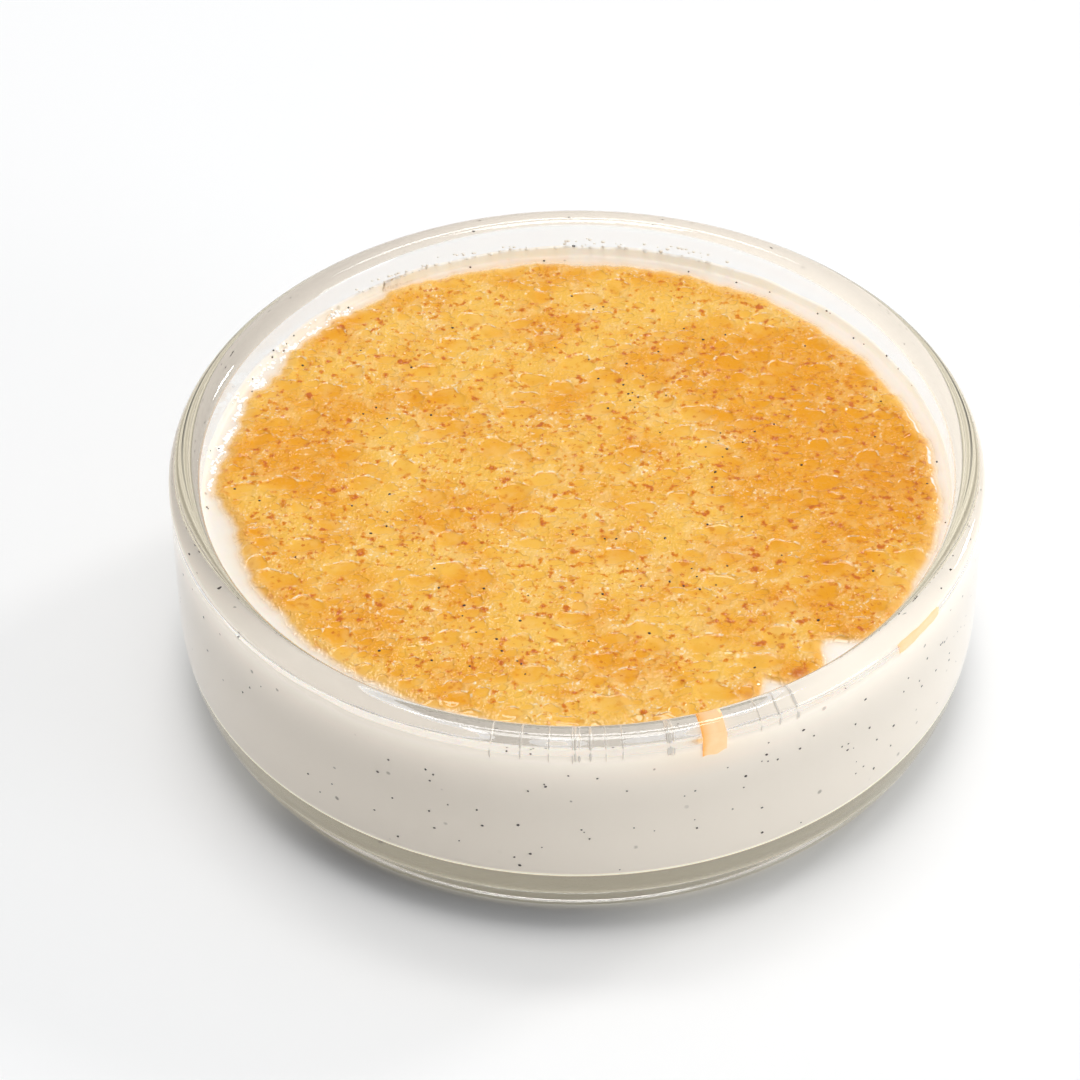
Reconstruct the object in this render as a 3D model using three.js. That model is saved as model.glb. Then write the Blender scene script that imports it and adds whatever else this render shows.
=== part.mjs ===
// Crème brûlée in a low, round ramekin of clear glass.
//
// Millimetres, +Z up. The foot ring stands on z = 0 and the dish's axis is the Z axis.
// Three separate pieces: the glass dish, the set custard in it, and the caramel sheet on top.

import * as THREE from 'three';

// ---------------------------------------------------------------- driving dimensions

// Dish
const RIM_DIAMETER = 100;
const DISH_HEIGHT = 31.6;
const WALL = 3.8;
const LIP_RISE = 1.3;           // the lip is half an ellipse: as wide as the wall, this high
const FLOOR_HEIGHT = 7.4;       // top of the thick glass base, above the table
const INNER_CORNER = 1.2;       // radius between the floor and the wall, inside
const HEEL_HEIGHT = 12.7;       // below this the outside curves in to the foot
const HEEL_INSET = 5.8;         // how far in the foot's outer edge stands
const FOOT_WIDTH = 1.9;         // the flat ring that touches the table
const FOOT_RECESS = 3.0;        // depth of the hollow under the base
const RECESS_FLARE = 1.9;       // the hollow's wall leans in by this much on its way up
const RECESS_ROUNDING = 0.3;    // softening at both edges of that wall

// Custard
const CUSTARD_LEVEL = 26.2;     // its flat top, above the table
const MENISCUS_RISE = 0.3;      // it climbs the glass by this much
const MENISCUS_WIDTH = 1.3;     // over this width
const FROTH_RELIEF = 0.07;      // unevenness of that edge, where froth has set

// Caramel
const CARAMEL_UNDERSIDE = 26.6;
const CARAMEL_THICKNESS = 0.32; // of a pool's middle
const CARAMEL_EDGE = 0.16;      // height of the sheet's thin outer edge
const SWELL = 0.045;            // long, low rise and fall of the sheet
const RIDGE_HEIGHT = 0.18;      // of the ridges between the smooth pools
const RIDGE_WIDTH = 2.1;        // counted as the difference of the distances to two pools
const POOL_SPACING = 5.2;       // between the middles of neighbouring pools
const POOL_STRETCH = 1.3;       // pools are longer along X than along Y
const RIM_ROLL = 0.1;           // the sheet thickens a little behind its edge
const RIM_ROLL_WIDTH = 1.6;

// The sheet's edge: its distance from the axis, every 30 degrees from +X towards +Y
const EDGE_RADII = [45.0, 44.1, 44.3, 44.3, 45.4, 44.7, 44.2, 42.8, 42.8, 43.2, 44.2, 44.8];
// Bites and tongues on it: where, in degrees, how far out (or in, if negative), half width
const EDGE_LOBES = [
  { at: 176.5, reach: 0.9, halfWidth: 5.0 },
  { at: 191.5, reach: -0.7, halfWidth: 6.5 },
  { at: 315.5, reach: -3.6, halfWidth: 3.2 },   // custard left bare
  { at: 302.0, reach: -2.6, halfWidth: 2.4 },   // custard left bare
  { at: 287.7, reach: 1.2, halfWidth: 2.6 },    // caramel run out to the glass
  { at: 324.0, reach: 1.1, halfWidth: 4.5 },    // caramel run out to the glass
];
const SCALLOPS = [              // small waves of the edge: count round the sheet, depth
  { count: 17, depth: 0.16 },
  { count: 29, depth: 0.14 },
];
const EDGE_LIMIT = 45.6;        // the sheet never reaches further than this
const EDGE_REACH = 0.75;        // share of the way out at which the unevenness starts
const ON_THE_EDGE = 1e-6;       // a point this near the edge counts as on it

// Neighbouring pieces keep this gap, so that no two solids touch
const FIT_GAP = 0.3;

// Fineness
const DISH_SEGMENTS = 96;
const CUSTARD_SEGMENTS = 144;
const CARAMEL_RINGS = 31;
const SEED = 2207;

const FULL_TURN = 2 * Math.PI;
const DEGREE = Math.PI / 180;
const OUTER_RADIUS = RIM_DIAMETER / 2;
const INNER_RADIUS = OUTER_RADIUS - WALL;

// ---------------------------------------------------------------- helpers

/** Points on an arc of an ellipse in the (radius, height) plane; angles in degrees. */
function arcPoints(centre, halfWidth, halfHeight, fromDegrees, toDegrees, steps) {
  const points = [];
  for (let i = 0; i <= steps; i += 1) {
    const angle = (fromDegrees + (toDegrees - fromDegrees) * (i / steps)) * DEGREE;
    points.push(new THREE.Vector2(
      centre.x + halfWidth * Math.cos(angle),
      centre.y + halfHeight * Math.sin(angle),
    ));
  }
  return points;
}

/** A solid of revolution about Z from a profile that starts and ends on the axis. */
function turned(profile, segments) {
  const geometry = new THREE.LatheGeometry(profile, segments);
  geometry.rotateX(Math.PI / 2);
  return geometry;
}

/** A repeatable stream of numbers from 0 to 1. */
function randomStream(seed) {
  const multiplier = 1664525;
  const increment = 1013904223;
  const modulus = 4294967296;
  let state = seed;
  return () => {
    state = (state * multiplier + increment) % modulus;
    return state / modulus;
  };
}

/** 0 below from, 1 above to, and smooth between. */
function smoothStep(value, from, to) {
  const t = Math.min(Math.max((value - from) / (to - from), 0), 1);
  return t * t * (3 - 2 * t);
}

/** The smaller angle between two bearings, in degrees. */
function bearingGap(a, b) {
  const gap = Math.abs(a - b) % 360;
  return Math.min(gap, 360 - gap);
}

// ---------------------------------------------------------------- dish

/**
 * Pressed glass: a thick base with a hollow under it, which leaves a narrow foot ring, a heel
 * that curves up into an upright wall, and a broad lip that is half an ellipse.
 */
function dishGeometry() {
  const footOuter = OUTER_RADIUS - HEEL_INSET;
  const footInner = footOuter - FOOT_WIDTH;
  const recessTop = footInner - RECESS_FLARE;
  const heelSteps = 7;
  const lipSteps = 10;
  const cornerSteps = 3;
  const profile = [
    new THREE.Vector2(0, FOOT_RECESS),
    new THREE.Vector2(recessTop, FOOT_RECESS),
    new THREE.Vector2(recessTop + 2 * RECESS_ROUNDING, FOOT_RECESS - RECESS_ROUNDING),
    new THREE.Vector2(footInner - RECESS_ROUNDING, RECESS_ROUNDING),
    new THREE.Vector2(footInner, 0),
    ...arcPoints(new THREE.Vector2(footOuter, HEEL_HEIGHT), HEEL_INSET, HEEL_HEIGHT,
      -90, 0, heelSteps),
    ...arcPoints(new THREE.Vector2(OUTER_RADIUS - WALL / 2, DISH_HEIGHT - LIP_RISE),
      WALL / 2, LIP_RISE, 0, 180, lipSteps),
    ...arcPoints(new THREE.Vector2(INNER_RADIUS - INNER_CORNER, FLOOR_HEIGHT + INNER_CORNER),
      INNER_CORNER, INNER_CORNER, 0, -90, cornerSteps),
    new THREE.Vector2(0, FLOOR_HEIGHT),
  ];
  return turned(profile, DISH_SEGMENTS);
}

// ---------------------------------------------------------------- custard

/** Froth that set unevenly against the glass: a height from 0 to 1 at a bearing. */
function froth(bearing) {
  const waves = Math.sin(19 * bearing + 0.7) + Math.sin(31 * bearing + 2.1);
  return 0.5 + 0.25 * waves;
}

/** The set custard: it fills the dish, lies flat, and climbs the glass a little all round. */
function custardGeometry() {
  const radius = INNER_RADIUS - FIT_GAP;
  const bottom = FLOOR_HEIGHT + FIT_GAP;
  const corner = INNER_CORNER - FIT_GAP;
  const cornerSteps = 2;
  const flatRadius = radius - MENISCUS_WIDTH;
  const halfway = radius - MENISCUS_WIDTH / 2;
  const profile = [
    new THREE.Vector2(0, bottom),
    ...arcPoints(new THREE.Vector2(radius - corner, bottom + corner), corner, corner,
      -90, 0, cornerSteps),
    new THREE.Vector2(radius, CUSTARD_LEVEL + MENISCUS_RISE),
    new THREE.Vector2(halfway, CUSTARD_LEVEL + MENISCUS_RISE / 4),
    new THREE.Vector2(flatRadius, CUSTARD_LEVEL),
    new THREE.Vector2(0, CUSTARD_LEVEL),
  ];
  const geometry = turned(profile, CUSTARD_SEGMENTS);
  const position = geometry.getAttribute('position');
  for (let i = 0; i < position.count; i += 1) {
    const rise = (position.getZ(i) - CUSTARD_LEVEL) / MENISCUS_RISE;
    if (rise > 0) {
      const bearing = Math.atan2(position.getY(i), position.getX(i));
      position.setZ(i, position.getZ(i) + FROTH_RELIEF * rise * froth(bearing));
    }
  }
  return geometry;
}

// ---------------------------------------------------------------- caramel

/** The edge radius listed every 30 degrees, joined by a smooth periodic curve. */
function listedEdge(bearing) {
  const count = EDGE_RADII.length;
  const place = (bearing / 360) * count;
  const index = Math.floor(place);
  const t = place - index;
  const [before, here, next, after] = [-1, 0, 1, 2].map(
    (step) => EDGE_RADII[(index + step + count) % count],
  );
  const slopeHere = (next - before) / 2;
  const slopeNext = (after - here) / 2;
  const bend = 3 * (next - here) - 2 * slopeHere - slopeNext;
  const twist = 2 * (here - next) + slopeHere + slopeNext;
  return here + slopeHere * t + bend * t * t + twist * t * t * t;
}

/** How far the caramel reaches from the axis at a bearing in degrees. */
function edgeRadius(bearing) {
  let radius = listedEdge(bearing);
  SCALLOPS.forEach(({ count, depth }) => {
    radius += depth * Math.sin(count * bearing * DEGREE + count);
  });
  EDGE_LOBES.forEach(({ at, reach, halfWidth }) => {
    const t = bearingGap(bearing, at) / halfWidth;
    radius += reach * Math.exp(-t * t);
  });
  return Math.min(radius, EDGE_LIMIT);
}

/** The radius of a ring of the sheet: a plain circle well inside, the uneven edge at its end. */
function ringRadius(share, edge) {
  const plain = EDGE_RADII[0];
  return share * (plain + (edge - plain) * smoothStep(share, EDGE_REACH, 1));
}

/** Distance between two points of the sheet, with the pools' stretch taken out. */
function poolDistance(x, y, pool) {
  return Math.hypot((x - pool.x) / POOL_STRETCH, y - pool.y);
}

/** The middles of the smooth pools, scattered over the sheet with a least spacing. */
function scatterPools() {
  const random = randomStream(SEED);
  const tries = 3000;
  const reach = OUTER_RADIUS;
  const pools = [];
  for (let i = 0; i < tries; i += 1) {
    const x = (2 * random() - 1) * reach;
    const y = (2 * random() - 1) * reach;
    const isFree = pools.every((pool) => poolDistance(x, y, pool) > POOL_SPACING);
    if (isFree) {
      pools.push({ x, y, ridge: 0.35 + 0.65 * random() });
    }
  }
  return pools;
}

/** Height of the ridge at a point: highest midway between its two nearest pools. */
function ridge(x, y, pools) {
  let nearest = Infinity;
  let second = Infinity;
  let strength = 0;
  pools.forEach((pool) => {
    const distance = poolDistance(x, y, pool);
    if (distance < nearest) {
      second = nearest;
      nearest = distance;
      strength = pool.ridge;
    } else if (distance < second) {
      second = distance;
    }
  });
  return RIDGE_HEIGHT * strength * (1 - smoothStep(second - nearest, 0, RIDGE_WIDTH));
}

/** The long, low rise and fall of the whole sheet. */
function swell(x, y) {
  const alongX = Math.sin(x / 6.1 + 1.3) * Math.cos(y / 7.4);
  const slanted = Math.sin((x + 1.7 * y) / 9.8 + 0.4);
  return SWELL * (alongX + slanted);
}

/** The caramel's top above the table, at a point and its distance in from the edge. */
function caramelTop(x, y, inset, pools) {
  if (inset < ON_THE_EDGE) {
    return CARAMEL_UNDERSIDE + CARAMEL_EDGE;
  }
  const roll = RIM_ROLL * Math.exp(-((inset - RIM_ROLL_WIDTH) ** 2) / RIM_ROLL_WIDTH);
  return CARAMEL_UNDERSIDE + CARAMEL_THICKNESS + roll + swell(x, y) + ridge(x, y, pools);
}

/**
 * A thin sheet with a flat underside, a relief of pools and ridges on top and an uneven edge.
 * Its top is laid out in rings; ring k has 6 k points, so that all triangles are about alike.
 */
function caramelGeometry() {
  const pools = scatterPools();
  const positions = [0, 0, caramelTop(0, 0, EDGE_RADII[0], pools)];
  const triangles = [];
  const ringStart = (k) => (k === 0 ? 0 : 1 + 3 * k * (k - 1));

  for (let k = 1; k <= CARAMEL_RINGS; k += 1) {
    const share = k / CARAMEL_RINGS;
    for (let i = 0; i < 6 * k; i += 1) {
      const bearing = (360 * i) / (6 * k);
      const edge = edgeRadius(bearing);
      const radius = ringRadius(share, edge);
      const x = radius * Math.cos(bearing * DEGREE);
      const y = radius * Math.sin(bearing * DEGREE);
      positions.push(x, y, caramelTop(x, y, edge - radius, pools));
    }
  }

  for (let k = 0; k < CARAMEL_RINGS; k += 1) {
    const inner = (i) => ringStart(k) + (k === 0 ? 0 : i % (6 * k));
    const outer = (i) => ringStart(k + 1) + (i % (6 * (k + 1)));
    for (let side = 0; side < 6; side += 1) {
      for (let i = 0; i <= k; i += 1) {
        const a = side * k + i;
        const b = side * (k + 1) + i;
        triangles.push(inner(a), outer(b), outer(b + 1));
        if (i < k) {
          triangles.push(inner(a), outer(b + 1), inner(a + 1));
        }
      }
    }
  }

  const rimCount = 6 * CARAMEL_RINGS;
  const rimStart = ringStart(CARAMEL_RINGS);
  const undersideStart = positions.length / 3;
  const middle = undersideStart + rimCount;
  for (let i = 0; i < rimCount; i += 1) {
    const rim = 3 * (rimStart + i);
    positions.push(positions[rim], positions[rim + 1], CARAMEL_UNDERSIDE);
  }
  positions.push(0, 0, CARAMEL_UNDERSIDE);
  for (let i = 0; i < rimCount; i += 1) {
    const next = (i + 1) % rimCount;
    triangles.push(rimStart + i, undersideStart + i, undersideStart + next);
    triangles.push(rimStart + i, undersideStart + next, rimStart + next);
    triangles.push(middle, undersideStart + next, undersideStart + i);
  }

  const geometry = new THREE.BufferGeometry();
  geometry.setAttribute('position', new THREE.Float32BufferAttribute(positions, 3));
  geometry.setIndex(triangles);
  geometry.computeVertexNormals();
  return geometry;
}

// ---------------------------------------------------------------- the whole

function piece(name, geometry, material) {
  const mesh = new THREE.Mesh(geometry, new THREE.MeshStandardMaterial(material));
  mesh.name = name;
  return mesh;
}

const cremeBrulee = new THREE.Group();
cremeBrulee.name = 'creme_brulee';

cremeBrulee.add(piece('dish', dishGeometry(), {
  color: 0xf2f5f3, roughness: 0.03, metalness: 0, transparent: true, opacity: 0.35,
}));
cremeBrulee.add(piece('custard', custardGeometry(), {
  color: 0xf5ecdf, roughness: 0.4, metalness: 0,
}));
cremeBrulee.add(piece('caramel', caramelGeometry(), {
  color: 0xf1b455, roughness: 0.15, metalness: 0,
}));

export default cremeBrulee;
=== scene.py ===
# %% [markdown]
# # A creme brulee in its glass dish
# A low round dish of clear pressed glass holds set vanilla custard under a thin sheet of burnt
# sugar. The three solids come from the frame at their real size. This lesson models each one
# again, finely enough for a close look, and adds what is too small to be a solid: the vanilla
# seeds, the froth along the glass and the grain of the sugar.

# %% Load the frame
import math
import random
from functools import partial

import bpy
import numpy as np
from mathutils import Matrix, Vector
from mathutils.bvhtree import BVHTree


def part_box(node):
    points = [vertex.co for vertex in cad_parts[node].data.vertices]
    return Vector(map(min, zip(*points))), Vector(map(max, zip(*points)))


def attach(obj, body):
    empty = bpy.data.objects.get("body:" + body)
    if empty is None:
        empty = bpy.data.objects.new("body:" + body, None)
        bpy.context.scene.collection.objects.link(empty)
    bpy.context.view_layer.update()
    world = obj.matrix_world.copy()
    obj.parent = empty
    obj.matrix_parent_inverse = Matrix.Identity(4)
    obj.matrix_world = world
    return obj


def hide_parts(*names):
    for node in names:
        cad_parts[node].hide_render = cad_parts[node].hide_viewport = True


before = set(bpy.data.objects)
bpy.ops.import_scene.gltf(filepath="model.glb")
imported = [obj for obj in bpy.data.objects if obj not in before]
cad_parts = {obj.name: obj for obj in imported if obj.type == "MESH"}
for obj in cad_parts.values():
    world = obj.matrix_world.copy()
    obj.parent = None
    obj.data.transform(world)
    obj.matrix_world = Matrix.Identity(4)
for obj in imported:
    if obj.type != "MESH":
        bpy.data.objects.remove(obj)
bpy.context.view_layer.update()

# %% [markdown]
# ## Sizes
# Blender works in metres, and a dish is easier to think about in millimetres, so every size
# below is written in millimetres and multiplied by `MM` where it is used. The overall sizes
# are read from the frame, so that the fine pieces can't drift away from the solids.

# %% Sizes of the dish, the custard and the caramel
MM = 0.001

dish_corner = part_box("dish")[1]
OUTER_RADIUS = dish_corner.x / MM
DISH_HEIGHT = dish_corner.z / MM
WALL = 3.8
LIP_RISE = 1.3                # the lip is half an ellipse: as wide as the wall, this high
INNER_RADIUS = OUTER_RADIUS - WALL
FLOOR_HEIGHT = 7.4            # top of the thick glass base
INNER_CORNER = 1.2
HEEL_HEIGHT = 12.7            # below this the outside curves in to the foot
HEEL_INSET = 5.8
FOOT_WIDTH = 1.9
FOOT_RECESS = 3.0             # the hollow under the base
RECESS_FLARE = 1.9
RECESS_ROUNDING = 0.3
TURN_STEPS = 480              # faces round the dish and round the custard
LIP_STEPS = 56
HEEL_STEPS = 28
CORNER_STEPS = 10

INTO_THE_GLASS = 0.05         # the contents reach this far into the wall: no film of air shows
CUSTARD_LEVEL = 26.5
MENISCUS_RISE = 0.3
MENISCUS_WIDTH = 1.3
FILM_RISE = 0.7               # a last film of custard climbs the glass by this much more
FILM_WIDTH = 0.5
print("dish", OUTER_RADIUS * 2, "x", DISH_HEIGHT, "mm, bore", INNER_RADIUS * 2, "mm")

# %% [markdown]
# ## The camera
# The dish is seen from about 42 degrees above the table through a long lens, a little off the
# middle of the picture. The camera is placed by where the foot's centre lies in the picture
# and how far away it is, counted in dish radii, so no lens shift is needed.

# %% The camera
PICTURE_SIDE = 1080           # pixels
FOCAL_LENGTH = 4092.3         # pixels
CENTRE_PIXEL = (575.9, 642.0) # the middle of the foot in the picture
LOOK_DOWN = math.radians(42.2)
LEAN = math.radians(-0.6)
DISTANCE = 10.4534 * OUTER_RADIUS * MM
SENSOR = 36

forward = Vector((0, math.cos(LOOK_DOWN), -math.sin(LOOK_DOWN)))
upward = Vector((0, math.sin(LOOK_DOWN), math.cos(LOOK_DOWN)))
rightward = Vector((1, 0, 0))
aside = (CENTRE_PIXEL[0] - PICTURE_SIDE / 2) / FOCAL_LENGTH * DISTANCE
above = (PICTURE_SIDE / 2 - CENTRE_PIXEL[1]) / FOCAL_LENGTH * DISTANCE
place = -forward * DISTANCE - rightward * aside - upward * above

lens = bpy.data.cameras.new("camera")
lens.sensor_width = SENSOR
lens.lens = SENSOR * FOCAL_LENGTH / PICTURE_SIDE
lens.clip_start = 0.01
camera = bpy.data.objects.new("camera", lens)
turn = Matrix((rightward, upward, -forward)).transposed().to_4x4()
camera.matrix_world = Matrix.Translation(place) @ turn @ Matrix.Rotation(LEAN, 4, "Z")
bpy.context.scene.collection.objects.link(camera)
bpy.context.scene.camera = camera
print("camera", [round(v, 3) for v in place], "lens", round(lens.lens, 1), "mm")

# %% [markdown]
# ## Modelling helpers
# Operators act on whatever is selected, and the frame leaves its solids selected, so each
# piece starts with nothing selected. A profile is then drawn point by point and spun on a
# lathe.

# %% Drawing a profile
def select_nothing():
    if bpy.context.mode != "OBJECT":
        bpy.ops.object.mode_set(mode="OBJECT")
    bpy.ops.object.select_all(action="DESELECT")


def drawn(places):
    """A point, extruded from place to place; it is left in edit mode, with all selected."""
    select_nothing()
    bpy.ops.mesh.primitive_plane_add(size=MM)
    bpy.ops.object.mode_set(mode="EDIT")
    bpy.ops.mesh.select_mode(type="VERT")
    bpy.ops.mesh.merge(type="CENTER")
    bpy.ops.transform.translate(value=[side * MM for side in places[0]])
    for here, there in zip(places, places[1:]):
        step = [(after - before) * MM for before, after in zip(here, there)]
        bpy.ops.mesh.extrude_vertices_move(TRANSFORM_OT_translate={"value": step})
    bpy.ops.mesh.select_all(action="SELECT")
    return bpy.context.object


def arc(centre, half_width, half_height, start, end, steps):
    """Points (radius, height) along an arc of an ellipse, from start to end in degrees."""
    points = []
    for step in range(steps + 1):
        angle = math.radians(start + (end - start) * step / steps)
        points.append((
            centre[0] + half_width * math.cos(angle),
            centre[1] + half_height * math.sin(angle),
        ))
    return points


# %% A lathe
SAME_POINT = 1e-7             # metres; points closer than this are one point


def turned(name, profile, steps):
    """A closed turned piece: its profile of radii and heights is drawn and then spun."""
    piece = drawn([(radius, 0, height) for radius, height in profile])
    piece.name = name
    piece.data.name = name
    bpy.ops.mesh.spin(steps=steps, angle=2 * math.pi, center=(0, 0, 0), axis=(0, 0, 1))
    bpy.ops.mesh.select_all(action="SELECT")
    bpy.ops.mesh.remove_doubles(threshold=SAME_POINT)
    bpy.ops.mesh.normals_make_consistent(inside=False)
    bpy.ops.object.mode_set(mode="OBJECT")
    bpy.ops.object.shade_smooth()
    print(name, len(piece.data.vertices), "points", len(piece.data.polygons), "faces")
    return piece


# %% [markdown]
# ## The glass dish
# The dish is pressed glass: a thick base, a heel that curves up into an upright wall and a
# broad lip that is half an ellipse. A hollow under the base leaves a narrow foot ring. It could be
# built from a cylinder with bevels, but every part of it is round about one axis, so a
# profile on a lathe gives each curve its true radius. Glass shows every facet, because it
# bends what is seen through it, so the curves get many points and the spin many steps.

# %% The dish
foot_outer = OUTER_RADIUS - HEEL_INSET
foot_inner = foot_outer - FOOT_WIDTH
recess_top = foot_inner - RECESS_FLARE
shoulder = DISH_HEIGHT - LIP_RISE
lip = arc((OUTER_RADIUS - WALL / 2, shoulder), WALL / 2, LIP_RISE, 0, 180, LIP_STEPS)
NEAR = 0.15                   # a point this close to a curve keeps the flat beside it flat

dish_profile = [
    (0, FOOT_RECESS),
    (recess_top - NEAR, FOOT_RECESS),
    (recess_top, FOOT_RECESS),
    (recess_top + RECESS_ROUNDING, FOOT_RECESS - RECESS_ROUNDING / 2),
    (recess_top + 2 * RECESS_ROUNDING, FOOT_RECESS - RECESS_ROUNDING),
    (foot_inner - RECESS_ROUNDING, RECESS_ROUNDING),
    (foot_inner - RECESS_ROUNDING / 3, RECESS_ROUNDING / 4),
    (foot_inner, 0),
    (foot_inner + NEAR, 0),
    (foot_outer - NEAR, 0),
    *arc((foot_outer, HEEL_HEIGHT), HEEL_INSET, HEEL_HEIGHT, -90, 0, HEEL_STEPS),
    (OUTER_RADIUS, HEEL_HEIGHT + NEAR),
    (OUTER_RADIUS, shoulder - NEAR),
    *lip,
    (INNER_RADIUS, shoulder - NEAR),
    (INNER_RADIUS, FLOOR_HEIGHT + INNER_CORNER + NEAR),
    *arc((INNER_RADIUS - INNER_CORNER, FLOOR_HEIGHT + INNER_CORNER),
         INNER_CORNER, INNER_CORNER, 0, -90, CORNER_STEPS),
    (INNER_RADIUS - INNER_CORNER - NEAR, FLOOR_HEIGHT),
    (0, FLOOR_HEIGHT),
]
dish = turned("glass_dish", dish_profile, TURN_STEPS)
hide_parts("dish")
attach(dish, "root")

# %% [markdown]
# ## The edge of the caramel
# Melted sugar ran out over the custard and stopped where it cooled, so the sheet has an
# uneven edge: two bites leave the custard bare and two tongues reach the glass. The same
# rule as in the solids gives the edge here, with finer scallops on top. It comes before the
# custard, because the custard is stained along it.

# %% The edge of the caramel
EDGE_RADII = [45.0, 44.1, 44.3, 44.3, 45.4, 44.7, 44.2, 42.8, 42.8, 43.2, 44.2, 44.8]
EDGE_LOBES = [                # bearing, reach out (or in, if negative), half width in degrees
    (176.5, 0.9, 5.0),
    (191.5, -0.7, 6.5),
    (315.5, -3.6, 3.2),
    (302.0, -2.6, 2.4),
    (288.4, 3.4, 2.2),
    (324.0, 0.9, 3.4),
]
SCALLOPS = [(17, 0.16), (29, 0.14), (61, 0.07), (97, 0.06), (151, 0.04)]
ROUGH_SIDE = 152              # the bearing where the scallops are deepest
ROUGHER = 1.3                 # by this much more than elsewhere
ROUGH_SPREAD = 32
EDGE_LIMIT = INNER_RADIUS + INTO_THE_GLASS + 0.03   # no face shared with the custard


def bearing_gap(bearings, other):
    gap = np.abs(bearings - other) % 360
    return np.minimum(gap, 360 - gap)


def smooth_step(values, low, high):
    t = np.clip((values - low) / (high - low), 0, 1)
    return t * t * (3 - 2 * t)


def hump(away, spread):
    """1 where nothing is between, falling smoothly to nearly 0 at twice the spread."""
    return np.exp(-(away / spread) ** 2)


def listed_edge(bearings):
    """The edge listed every 30 degrees, joined by a smooth periodic curve."""
    count = len(EDGE_RADII)
    radii = np.array(EDGE_RADII)
    position = bearings / 360 * count
    index = np.floor(position).astype(int)
    t = position - index
    before, here, after, later = [radii[(index + step) % count] for step in (-1, 0, 1, 2)]
    slope_here = (after - before) / 2
    slope_after = (later - here) / 2
    bend = 3 * (after - here) - 2 * slope_here - slope_after
    twist = 2 * (here - after) + slope_here + slope_after
    return here + slope_here * t + bend * t ** 2 + twist * t ** 3


def edge_radius(bearings):
    """How far the caramel reaches at each bearing, in millimetres."""
    radius = listed_edge(bearings)
    depth = 1 + ROUGHER * hump(bearing_gap(bearings, ROUGH_SIDE), ROUGH_SPREAD)
    for count, size in SCALLOPS:
        radius = radius + depth * size * np.sin(np.radians(count * bearings) + count)
    for at, reach, half_width in EDGE_LOBES:
        radius = radius + reach * hump(bearing_gap(bearings, at), half_width)
    return np.minimum(radius, EDGE_LIMIT)


def polar(piece):
    """Bearing in degrees, radius and height in millimetres of every point of a piece."""
    points = np.empty(len(piece.data.vertices) * 3)
    piece.data.vertices.foreach_get("co", points)
    x, y, z = points.reshape(-1, 3).T / MM
    return np.degrees(np.arctan2(y, x)) % 360, np.hypot(x, y), z


def put_attribute(piece, name, values):
    """A number on every point, which a material can read by its name."""
    attribute = piece.data.attributes.new(name, "FLOAT", "POINT")
    attribute.data.foreach_set("value", np.asarray(values, dtype=np.float32))


all_round = np.arange(0, 360, 0.5)
print("the caramel reaches", edge_radius(all_round).min().round(1), "to",
      edge_radius(all_round).max().round(1), "mm from the axis")

# %% [markdown]
# ## The custard
# Set custard fills the dish to its level and climbs the glass a little. It is a turned piece
# like the dish, with a ring of fine loops along the glass: there its height follows the
# froth that set unevenly, and there it carries a stain where syrup soaked in from the
# caramel. It reaches just into the wall, so that glass and custard meet without air between.

# %% The custard
CUSTARD_RADIUS = INNER_RADIUS + INTO_THE_GLASS
CUSTARD_BOTTOM = FLOOR_HEIGHT - INTO_THE_GLASS
custard_corner = INNER_CORNER + INTO_THE_GLASS
RING_STEP = 0.15
RING_LOOPS = 40
FRONT = 270                   # the bearing of the side that is seen first
FROTH_LIFT = 0.25             # froth makes the film this much higher or lower, as a share
STAIN = 0.55                  # strength of the syrup's stain at the caramel's edge
STAIN_WIDTH = 0.6
SMEARED = 96                  # more syrup is smeared over the ring here
SMEARED_SPREAD = 13
MORE_STAIN = 0.3
MORE_STAIN_WIDTH = 0.7
SYRUP_BELOW = 287             # below the front tongue syrup tints the custard's side
SYRUP_SPREAD = 9
SYRUP_DEPTH = 4.5
SYRUP_STAIN = 0.3


def froth_height(bearings):
    """Froth along the glass: 0 to 1, highest where two slow waves meet."""
    radians = np.radians(bearings)
    return 0.5 + 0.25 * (np.sin(19 * radians + 0.7) + np.sin(31 * radians + 2.1))


def meniscus(radius, bearings):
    """Height of the custard's surface above its flat middle, at a radius and bearing."""
    climb = np.clip((radius - (INNER_RADIUS - MENISCUS_WIDTH)) / MENISCUS_WIDTH, 0, 1)
    film = np.clip((radius - (INNER_RADIUS - FILM_WIDTH)) / FILM_WIDTH, 0, 1)
    at_back = smooth_step(np.sin(np.radians(bearings)), 0.1, 0.8)
    return MENISCUS_RISE * climb ** 2 + FILM_RISE * (1 + 0.5 * at_back) * film ** 2


ring_radii = [CUSTARD_RADIUS - RING_STEP * loop for loop in range(RING_LOOPS)]
custard_profile = [
    (0, CUSTARD_BOTTOM),
    (CUSTARD_RADIUS - custard_corner - NEAR, CUSTARD_BOTTOM),
    *arc((CUSTARD_RADIUS - custard_corner, CUSTARD_BOTTOM + custard_corner),
         custard_corner, custard_corner, -90, 0, CORNER_STEPS),
    (CUSTARD_RADIUS, CUSTARD_BOTTOM + custard_corner + NEAR),
    (CUSTARD_RADIUS, CUSTARD_LEVEL - SYRUP_DEPTH),
    (CUSTARD_RADIUS, CUSTARD_LEVEL - NEAR),
    *[(radius, CUSTARD_LEVEL + float(meniscus(radius, FRONT))) for radius in ring_radii],
    (0, CUSTARD_LEVEL),
]
custard = turned("custard_body", custard_profile, TURN_STEPS)

bearings, radii, heights = polar(custard)
climb = meniscus(radii, bearings)
uneven = climb * (1 + FROTH_LIFT * (froth_height(bearings) - 0.5))
heights = np.where(heights > CUSTARD_LEVEL, CUSTARD_LEVEL + uneven, heights)
points = np.empty(len(heights) * 3)
custard.data.vertices.foreach_get("co", points)
points[2::3] = heights * MM
custard.data.vertices.foreach_set("co", points)
custard.data.update()

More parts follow.
